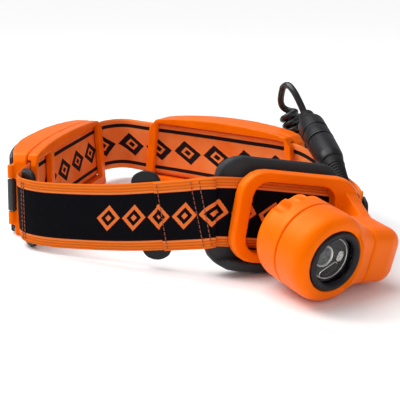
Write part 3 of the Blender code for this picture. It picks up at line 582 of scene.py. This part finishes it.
cord_points = coil_line()
cord_points += smooth_line([cord_points[-1], (58.6, 66.2, 58.6)] + LOOP_ROUTE[2:], 2.2)[1:]
cord_points += [CONNECTOR_TOP.lerp(LEAD_START, k / 16) for k in range(16)]
cord_points += smooth_line(LEAD_ROUTE, 1.0)
joins = [0, int(COIL_TURNS * TURN_STEPS)]
for _ in range(40):
    for j in joins:
        for k in range(max(1, j - 9), j + 9):
            cord_points[k] = (cord_points[k - 1] + cord_points[k + 1]) / 4 + cord_points[k] / 2
cord = cord_curve("curly_lead", cord_points, "headband", "curly_cord", "cord_loop", "lamp_lead")

top, reach = frame_along(CONNECTOR_TOP, -CONNECTOR_AXIS), CONNECTOR_RADIUS


def ribs(start, end, radius_start, radius_end, pitch, depth):
    """Profile points of a bend relief with grooves round it."""
    made, count = [], max(1, round((start - end) / pitch))
    for k in range(count):
        a, b = k / count, (k + 0.55) / count
        for t, less in ((a, 0), (b, 0), (b + 0.04, depth), (a + 0.93 / count, depth)):
            made.append((radius_start + (radius_end - radius_start) * t - less,
                         start + (end - start) * t))
    return made


fittings = [
    turned("socket_boot_skin", [(0, 0), (3.8, 0), (4.8, -1.2), (5.2, -6.4), (5.0, -6.9),
                                (5.0, -7.5), (5.3, -8.0), (5.5, -9.6), (5.9, -11), (0, -11)],
           top, RUBBER, "headband", "socket_boot", radius=0.6, steps=64),
    turned("connector_socket_skin", [
        (0, -11.3), (reach - 1.8, -11.3), (reach - 0.3, -12.9), (reach, -14.6), (reach, -24.6),
        (reach - 0.7, -25.2), (reach - 0.7, -26.8), (reach, -27.4), (reach, -35), (0, -35)],
        top, GLOSS_BLACK, "headband", "connector_socket", radius=0.7, steps=72),
    turned("connector_ring_skin", [(0, -35.3), (reach + 0.15, -35.3), (reach + 0.15, -37),
                                   (0, -37)], top, GUNMETAL, "headband", "connector_ring",
           radius=0.35, steps=72),
    turned("connector_plug_skin", [(0, -37.3), (reach - 0.3, -37.3), (reach, -39.6),
                                   (reach - 0.1, -48), (reach - 0.4, -57), (reach - 1.7, -62),
                                   (0, -62)], top, GLOSS_BLACK, "headband", "connector_plug",
           radius=1.2, steps=72),
    turned("plug_boot_skin", [(0, -62.3), (6.1, -62.3), (6.2, -64), (5.9, -66.4)]
           + ribs(-67, -BOOT_LENGTH + 2, 5.6, 3.4, 2.4, 0.7)
           + [(3.2, -BOOT_LENGTH + 1.4), (3.2, -BOOT_LENGTH), (0, -BOOT_LENGTH)], top, RUBBER,
           "headband", "plug_boot", radius=0.4, steps=64)]

base = Vector(COIL_ROUTE[0]) - Vector((0, 0, 0.3))
turned("pod_gland_skin", [(0, 0), (3.0, 0), (3.6, -0.8), (4.6, -1.8), (5.0, -4.4), (4.4, -4.9),
                          (4.4, -5.7), (5.3, -6.2), (5.4, -8.6), (4.8, -9.1), (4.8, -9.9),
                          (5.4, -10.4), (5.4, -14.4), (0, -14.4)],
       axes(base, Vector((1, 0, 0)), Vector((0, 1, 0)), Vector((0, 0, 1))), RUBBER,
       "headband", "pod_gland", radius=0.5, steps=64)


# ---------------------------------------------------------------- webbing

def ribbon(name, start, end, out, *stands_for, width=STRAP_WIDTH, thick=STRAP_THICK - 0.2,
           drift=None, first=0.0):
    """A length of elastic webbing on the band's line with rounded selvedges."""
    across = 22
    section = []
    for k in range(across + 1):
        v = k / across
        edge = min(1.0, min(v, 1 - v) * width / 0.8)
        half = thick / 2 * math.sqrt(max(0.04, 1 - (1 - edge) ** 2))
        section.append((v, half))
    rings, marks = [], []
    for u, gone in band_steps(start, end, 1.3):
        p, ahead, up, side = band_at(u)
        shift = out + (drift(u) if drift else 0.0)
        wave = 0.16 * math.sin(gone / 9.0) + 0.1 * math.sin(gone / 3.7 + 1)
        row = []
        for v, half in section:
            cup = 0.5 * math.cos((v - 0.5) * math.pi) - 0.25
            rib = 0.05 * math.sin(gone * 2 * math.pi / 2.6)
            row.append((v, shift + half + cup * 0.3 + wave * (v - 0.5) + rib))
        for v, half in reversed(section):
            cup = 0.5 * math.cos((v - 0.5) * math.pi) - 0.25
            row.append((v, shift - half + cup * 0.3 + wave * (v - 0.5)))
        rings.append([at(p + side * o + up * (v - 0.5) * width) for v, o in row])
        marks.append(first + gone)
    bm = bmesh.new()
    uv = bm.loops.layers.uv.new("weave")
    rows = [[bm.verts.new(p) for p in ring] for ring in rings]
    n, outer = len(rows[0]), across + 1
    v_of = [s[0] for s in section] + [s[0] for s in reversed(section)]
    for i, (a, b) in enumerate(zip(rows, rows[1:])):
        for k in range(n):
            m = (k + 1) % n
            face = bm.faces.new((a[k], a[m], b[m], b[k]))
            face.material_index = 0 if k < outer else 1
            for loop, (s, v) in zip(face.loops, ((marks[i], v_of[k]), (marks[i], v_of[m]),
                                                 (marks[i + 1], v_of[m]),
                                                 (marks[i + 1], v_of[k]))):
                loop[uv].uv = (s, v * STRAP_WIDTH)
    for row in (rows[0], rows[-1][::-1]):
        cap = bm.faces.new(row[::-1])
        for loop in cap.loops:
            loop[uv].uv = (0, 1)
    return piece(name, finished(bm, name), [WEB_OUT, WEB_IN], "headband", *stands_for)


def stitch_rows(name, rows, out, look=THREAD):
    """Short threads lying across the webbing; rows are (place, lowest share, highest share)."""
    bm = bmesh.new()
    for u, low, high in rows:
        count = int((high - low) * STRAP_WIDTH / 2.3)
        p, ahead, up, side = band_at(u)
        for k in range(count):
            mid = low + (high - low) * (k + 0.5) / count - 0.5
            spine = []
            for t in (-1.0, -0.55, 0.0, 0.55, 1.0):
                lift = 0.3 * (1 - t * t) - 0.12
                spine.append(p + up * (mid * STRAP_WIDTH + t * 0.85) + side * (out + lift))
            ring_rows = []
            for q in spine:
                ring_rows.append([bm.verts.new(at(q + (ahead * math.cos(a) + side * math.sin(a))
                                                  * 0.24))
                                  for a in (math.pi * j / 3 for j in range(6))])
            for a, b in zip(ring_rows, ring_rows[1:]):
                for j in range(6):
                    bm.faces.new((a[j], a[(j + 1) % 6], b[(j + 1) % 6], b[j]))
            bm.faces.new(ring_rows[0][::-1])
            bm.faces.new(ring_rows[-1])
    return piece(name, finished(bm, name), look, "headband")


ribbon("front_webbing", 1.05, 7.98, 0.0, "front_strap")
ribbon("rear_webbing", 8.03, 24.33, 0.0, "rear_strap", first=300.0)
ribbon("folded_webbing", 3.15, 4.45, 1.9, "strap_tail", first=64.5)
stitch_rows("fold_stitching", [(3.46, 0.02, 0.98), (3.76, 0.02, 0.98), (4.4, 0.02, 0.98)], 2.75)
stitch_rows("left_stitching", [(7.15, 0.04, 0.96), (7.3, 0.04, 0.96), (8.75, 0.04, 0.96),
                               (8.85, 0.04, 0.96)], 0.9)
stitch_rows("right_stitching", [(22.6, 0.04, 0.96), (22.75, 0.04, 0.96)], 0.9)


def slider(name, u, out, node, width=16.0, height=40.0, bar=3.0, thick=2.2, crown=0.0,
           drop=0.0):
    """A three-bar slider with rounded bars; crown lifts its ends into arcs."""
    p, ahead, up, side = band_at(u)
    curve = bpy.data.curves.new(name, "CURVE")
    curve.dimensions, curve.fill_mode = "2D", "BOTH"
    curve.extrude, curve.bevel_depth, curve.bevel_resolution = (thick / 2 - 0.7) * MM, 0.7 * MM, 3

    def outline(left, right, low, high, corner, arc):
        line, points = curve.splines.new("POLY"), []
        for cx, cy, begin in ((right - corner, high - corner, 0),
                              (left + corner, high - corner, 90),
                              (left + corner, low + corner, 180),
                              (right - corner, low + corner, 270)):
            for k in range(7):
                a = math.radians(begin + 15 * k)
                points.append((cx + corner * math.cos(a), cy + corner * math.sin(a)))
        full = []
        for (ax, ay), (bx, by) in zip(points, points[1:] + points[:1]):
            full += [(ax + (bx - ax) * k / 8, ay + (by - ay) * k / 8) for k in range(8)]
        line.points.add(len(full) - 1)
        half = (right - left) / 2
        for spot, (x, y) in zip(line.points, full):
            lift = arc * max(0.0, 1 - (x / max(half, 1)) ** 2) * (abs(y) > high - corner - 0.1)
            spot.co = (x * MM, (y + math.copysign(lift, y)) * MM, 0, 1)
        line.use_cyclic_u = True

    inset = 0.7
    outline(-width / 2 + inset, width / 2 - inset, -height / 2 + inset, height / 2 - inset, 2.4,
            crown)
    slot = (width - 3 * bar) / 2
    for k in (-1, 1):
        mid = k * (slot + bar) / 2
        outline(mid - slot / 2 - inset * 0.4, mid + slot / 2 + inset * 0.4, -height / 2 + bar,
                height / 2 - bar, 1.2, 0)
    raw = bpy.data.objects.new(name + "_raw", curve)
    bpy.context.scene.collection.objects.link(raw)
    mesh = bpy.data.meshes.new_from_object(
        raw.evaluated_get(bpy.context.evaluated_depsgraph_get()))
    bpy.data.objects.remove(raw)
    mesh.transform(axes(p + side * out - up * drop, ahead, up, -side))
    return piece(name, mesh, BLACK_PLASTIC, "headband", node)


slider("left_slider_skin", 7.45, -4.5, "left_slider", width=14.0, height=40.0, crown=1.6)
slider("near_slider_skin", 4.6, -2.2, "near_slider", height=40.0, crown=3.0)
slider("right_slider_skin", 23.4, 2.2, "right_slider", height=30.0, drop=2.8)


# ---------------------------------------------------------------- lamp head

right, up, forward = tilted_axes(HEAD_YAW, HEAD_PITCH, HEAD_ROLL)
face = axes(FACE_CENTRE, right, up, forward)
seam, outer = SEAM_DEPTH, BARREL_RADIUS

turned("bezel_skin", [(LENS_RADIUS + 0.9, 0.45), (BEZEL_RADIUS - 0.7, 0.8), (BEZEL_RADIUS, 0.2),
                      (BEZEL_RADIUS, -4.0), (LENS_RADIUS + 1.6, -4.0),
                      (LENS_RADIUS + 1.6, -1.6), (LENS_RADIUS + 0.3, -1.3)], face, BLACK_SATIN,
       "lamp_head", "bezel_ring", radius=0.35)
turned("lens_skin", [(0, -1.75), (6, -1.82), (LENS_RADIUS + 1.0, -2.0),
                     (LENS_RADIUS + 1.2, -2.2), (LENS_RADIUS + 1.2, -3.2), (0, -3.4)], face,
       CLEAR, "lamp_head", "front_lens", radius=0.2)
spot_frame = face @ Matrix.Translation((-4.4 * MM, 1.2 * MM, 1.2 * MM))
turned("spot_optic_skin", [(0, -4.95), (0.9, -5.0), (1.2, -5.5), (1.6, -5.6), (1.9, -5.15),
                           (2.6, -5.1), (2.8, -5.35), (3.1, -5.4), (3.4, -5.1), (4.1, -5.15),
                           (4.2, -6.0), (2.2, -10.2), (0, -10.2)], spot_frame, OPTIC,
       "lamp_head", "spot_optic", radius=0.25, steps=72)


def scooped(turn, r, z):
    """The dial's finger scoops, deepest at its rear edge."""
    away = min(abs(turn - math.radians(a)) for a in SCOOP_ANGLES) * BARREL_RADIUS
    past = max(0.0, z + HEAD_DEPTH - 8.6)
    bowl = max(0.0, 1 - (away / 3.7) ** 2 - (past / 3.6) ** 2)
    return min(r, max(BARREL_RADIUS - 3.9 * math.sqrt(bowl), 16.6)) if r > 16.6 else r


turned("mode_dial_skin", [
    (15.9, -seam - 0.4), (outer - 0.3, -seam - 0.4), (outer, -seam - 0.9),
    (outer, -HEAD_DEPTH + 6.5), (outer - 0.9, -HEAD_DEPTH + 3.6),
    (outer - 2.8, -HEAD_DEPTH + 1.3), (outer - 5.6, -HEAD_DEPTH), (10.5, -HEAD_DEPTH),
    (10.2, -HEAD_DEPTH + 0.5), (9.4, -HEAD_DEPTH + 0.5),
    (9.1, -HEAD_DEPTH), (0.01, -HEAD_DEPTH + 0.1), (0.01, -HEAD_DEPTH + 4.4),
    (15.9, -HEAD_DEPTH + 4.4)], face, ORANGE, "mode_dial_body", "mode_dial", radius=1.6,
    steps=260, spacing=0.45, shape=scooped)

def drum_section(t, half_depth, half_height, corner, steps=7):
    """A rounded rectangle across the tilt axis, t along it from the barrel's middle."""
    centre = FACE_CENTRE - forward * TILT_AXIS_DEPTH + right * t
    ring = []
    for k, (sx, sy) in enumerate(((1, 1), (-1, 1), (-1, -1), (1, -1))):
        for j in range(steps):
            a = math.radians(90 * k + 90 * j / (steps - 1))
            ring.append(at(centre + forward * (sx * (half_depth - corner)
                                               + corner * math.cos(a))
                           + up * (sy * (half_height - corner) + corner * math.sin(a))))
    return ring


def carve(target, operation, tool):
    """Applies a Boolean and removes the tool."""
    for o in (target, tool):
        o.hide_viewport = False
    change = target.modifiers.new("change", "BOOLEAN")
    change.operation, change.solver, change.object = operation, "EXACT", tool
    bpy.context.view_layer.update()
    mesh = bpy.data.meshes.new_from_object(
        target.evaluated_get(bpy.context.evaluated_depsgraph_get()))
    target.modifiers.clear()
    target.data = mesh
    bpy.data.objects.remove(tool)


shell = turned("shell_raw", [
    (LENS_RADIUS + 4.0, 0.0), (FACE_RADIUS - 1.2, 0), (FACE_RADIUS + 0.6, -0.6),
    (FACE_RADIUS + 2.1, -2.2), (outer - 0.2, -4.6), (outer, -8), (outer, -seam),
    (outer - 2.0, -seam), (outer - 2.0, -4.2), (LENS_RADIUS + 4.0, -4.2)], face, ORANGE,
    "lamp_head", radius=1.8, steps=144)
boss = loft("boss_raw", [drum_section(t, DRUM_HALF_DEPTH * s, DRUM_HALF_HEIGHT * s, DRUM_CORNER)
                         for t, s in ((10, 1.16), (13, 1.1), (17, 1.03), (20, 1.005),
                                      (DRUM_START - 1, 1.0), (DRUM_START - 0.3, 0.985))],
            ORANGE, "lamp_head")
inside = turned("inside_raw", [(0, -4.2), (outer - 1.0, -4.2), (outer - 1.0, -seam - 12),
                               (0, -seam - 12)], face, ORANGE, "lamp_head", radius=0.01)
behind = turned("behind_raw", [(0, -seam), (70, -seam), (70, -seam - 30), (0, -seam - 30)], face,
                ORANGE, "lamp_head", radius=0.01)
ahead_room = turned("ahead_raw", [(0, 6), (LENS_RADIUS + 5.2, 6), (LENS_RADIUS + 5.2, -6),
                                  (0, -6)], face, ORANGE, "lamp_head", radius=0.01)
for tool in (inside, behind, ahead_room):
    carve(boss, "DIFFERENCE", tool)
carve(shell, "UNION", boss)
pivot = axes(FACE_CENTRE - forward * TILT_AXIS_DEPTH, up, forward, right)
carve(shell, "DIFFERENCE", turned("shaft_raw", [(0, 10), (SHAFT_RADIUS + 0.3, 10),
                                                (SHAFT_RADIUS + 0.3, 26), (0, 26)], pivot,
                                  ORANGE, "lamp_head", radius=0.01))
softened("head_front_shell", 0.34, 12, ORANGE, "lamp_head", source=shell.data)
bpy.data.objects.remove(shell)

# What shows through the lens: a bright collar, a slanted bar and a frosted square cover.
turned("spot_collar", [(4.3, -4.9), (4.9, -4.7), (5.2, -5.2), (5.0, -6.2), (4.3, -6.0)],
       spot_frame, NICKEL, "lamp_head", radius=0.15, steps=64)


def capsule(name, half_length, radius, low, high, x, y, slant, look, soft=0.35):
    """A round-ended bar lying in the face, from one depth to another."""
    turn = face @ Matrix.Translation((x * MM, y * MM, 0)) @ Matrix.Rotation(
        math.radians(slant), 4, "Z")
    outline = [(sign * half_length + radius * math.cos(a), radius * math.sin(a))
               for sign, begin in ((1, -90), (-1, 90))
               for a in (math.radians(begin + 15 * k) for k in range(13))]
    rings = []
    for z, less in ((low, 0), (high - soft, 0), (high - soft * 0.3, soft * 0.3), (high, soft)):
        rings.append([turn @ Vector(((px - math.copysign(less, px) * 0.9) * MM,
                                     py * (1 - less / radius) * MM, z * MM))
                      for px, py in outline])
    return loft(name, rings, look, "lamp_head")


mask = turned("optic_mask", [(0, -4.4), (9.4, -4.4), (10.2, -3.8), (10.5, -4.6), (10.5, -6.0),
                             (0, -6.0)], face, BLACK_SATIN, "lamp_head", radius=0.3)
carve(mask, "DIFFERENCE", turned("spot_room_raw", [(0, -5), (4.2, -5), (4.2, -8), (0, -8)],
                                 spot_frame, BLACK_SATIN, "lamp_head", radius=0.01))
turned("optic_edge", [(9.3, -4.6), (9.45, -4.0), (9.85, -3.95), (10.0, -4.6)], face, NICKEL,
       "lamp_head", radius=0.12, steps=72)
capsule("slot_rim", 3.6, 1.9, -5.2, -4.15, 0.9, -5.6, 34, NICKEL)
capsule("slot_bar", 3.6, 1.5, -5.2, -3.7, 0.9, -5.6, 34, BLACK_SATIN)
capsule("flood_seat", 1.0, 1.7, -5.2, -4.15, 5.9, 0.9, 80, NICKEL)
capsule("flood_cover", 0.6, 1.3, -4.6, -3.5, 5.9, 0.9, 80, OPTIC, soft=0.5)
softened("front_bracket", 0.42, 12, ORANGE, "headband")
softened("forehead_pad", 0.6, 10, PAD_GREY, "headband")


# ---------------------------------------------------------------- battery pods

for letter in "ab":
    softened(f"pod_{letter}_strap_frame", 0.5, 6, POD_ORANGE, "headband")
    softened(f"pod_{letter}_housing", 0.65, 5, POD_ORANGE, "headband")

def door_ribs(letter, span, heights):
    """Long grip ribs moulded on a pod's door, laid on its outer face."""
    door = BVHTree.FromObject(NODES[f"pod_{letter}_door"],
                              bpy.context.evaluated_depsgraph_get())
    start, end = span
    bm = bmesh.new()
    for z in heights:
        line = []
        for k in range(29):
            p, _, _, side = band_at(start + (end - start) * k / 28)
            level = Vector((side.x, side.y, 0)).normalized()
            hit, normal, _, _ = door.ray_cast(at(Vector((p.x, p.y, z)) + level * 40), -level)
            if hit is not None:
                line.append((hit, level, Vector((0, 0, 1))))
        rows = []
        for k, (hit, out, tall) in enumerate(line):
            taper = min(1.0, 0.35 + min(k, len(line) - 1 - k) * 0.35)
            rows.append([bm.verts.new(hit + out * ((0.55 * math.cos(a) * taper - 0.1) * MM)
                                      + tall * (0.85 * math.sin(a) * taper * MM))
                         for a in (math.radians(40 * j) for j in range(9))])
        for a, b in zip(rows, rows[1:]):
            for j in range(9):
                bm.faces.new((a[j], a[(j + 1) % 9], b[(j + 1) % 9], b[j]))
        bm.faces.new(rows[0][::-1])
        bm.faces.new(rows[-1])
    return piece(f"pod_{letter}_door_ribs", finished(bm, f"pod_{letter}_door_ribs"), HOUSING,
                 f"door_{letter}")


door_ribs("a", (9.7, 12.2), (13.5, 18.5, 23.5, 28.5, 33.5))
door_ribs("b", (16.4, 18.1), (13.5, 18.5, 23.5, 28.5, 33.5))

bridge = []
count = 72
for k in range(count + 1):
    u = POD_A[1] + 0.02 + (POD_B[0] - POD_A[1] - 0.04) * k / count
    p, _, _, side = band_at(u)
    level = Vector((side.x, side.y, 0)).normalized()
    dip = 0.75 * (0.5 - 0.5 * math.cos(2 * math.pi * k / 6))
    bridge.append([at(Vector((p.x, p.y, z)) + level * o) for o, z in (
        (2.2, 12.4), (2.6, 12), (4.2 - dip, 12), (4.6 - dip, 12.6), (4.6 - dip, 24.5),
        (4.6 - dip, 36.4), (4.2 - dip, 37), (2.6, 37), (2.2, 36.6))])
loft("pod_bridge_skin", bridge, RUBBER, "headband", "pod_bridge")


# ---------------------------------------------------------------- floor and light

FLOOR_HALF_SIDE, FLOOR_GAP = 9.0, 0.0003  # metres

bm = bmesh.new()
bmesh.ops.create_grid(bm, x_segments=4, y_segments=4, size=FLOOR_HALF_SIDE)
floor_mesh = finished(bm, "floor")
floor_look = Look("floor_finish", (0.985, 0.985, 0.99), 0.55)
floor_look.feed(Base_Color=floor_look.mix(floor_look.noise(3.0, 2.0), (0.98, 0.98, 0.985),
                                          (0.99, 0.99, 0.995)))
floor_mesh.materials.append(floor_look.material)
floor = bpy.data.objects.new("floor", floor_mesh)
floor.location.z = -FLOOR_GAP
bpy.context.scene.collection.objects.link(floor)

world = bpy.data.worlds.new("studio")
world.use_nodes = True
world.node_tree.nodes["Background"].inputs["Color"].default_value = (1, 1, 1, 1)
world.node_tree.nodes["Background"].inputs["Strength"].default_value = 0.37
bpy.context.scene.world = world


def softbox(name, place, target, width, height, power, tint=(1, 1, 1)):
    lamp = bpy.data.lights.new(name, "AREA")
    lamp.shape, lamp.size, lamp.size_y, lamp.energy = "RECTANGLE", width, height, power
    lamp.color = tint
    made = bpy.data.objects.new(name, lamp)
    made.location = place
    made.rotation_euler = (Vector(target) - Vector(place)).to_track_quat("-Z", "Y").to_euler()
    bpy.context.scene.collection.objects.link(made)


sun = bpy.data.lights.new("ceiling", "SUN")
sun.energy, sun.angle = 2.4, math.radians(55)
ceiling = bpy.data.objects.new("ceiling", sun)
ceiling.rotation_euler = Vector((-0.42, 0.2, 1.0)).to_track_quat("Z", "Y").to_euler()
bpy.context.scene.collection.objects.link(ceiling)
softbox("left_window", (-0.55, 0.15, 0.6), (0, 0, 0.02), 0.3, 0.45, 3.2)
softbox("front_fill", (0.15, -1.1, 0.5), (0.02, 0, 0.02), 0.8, 0.4, 2.4)

bpy.context.scene.view_settings.view_transform = "Standard"
bpy.context.scene.view_settings.look = "None"
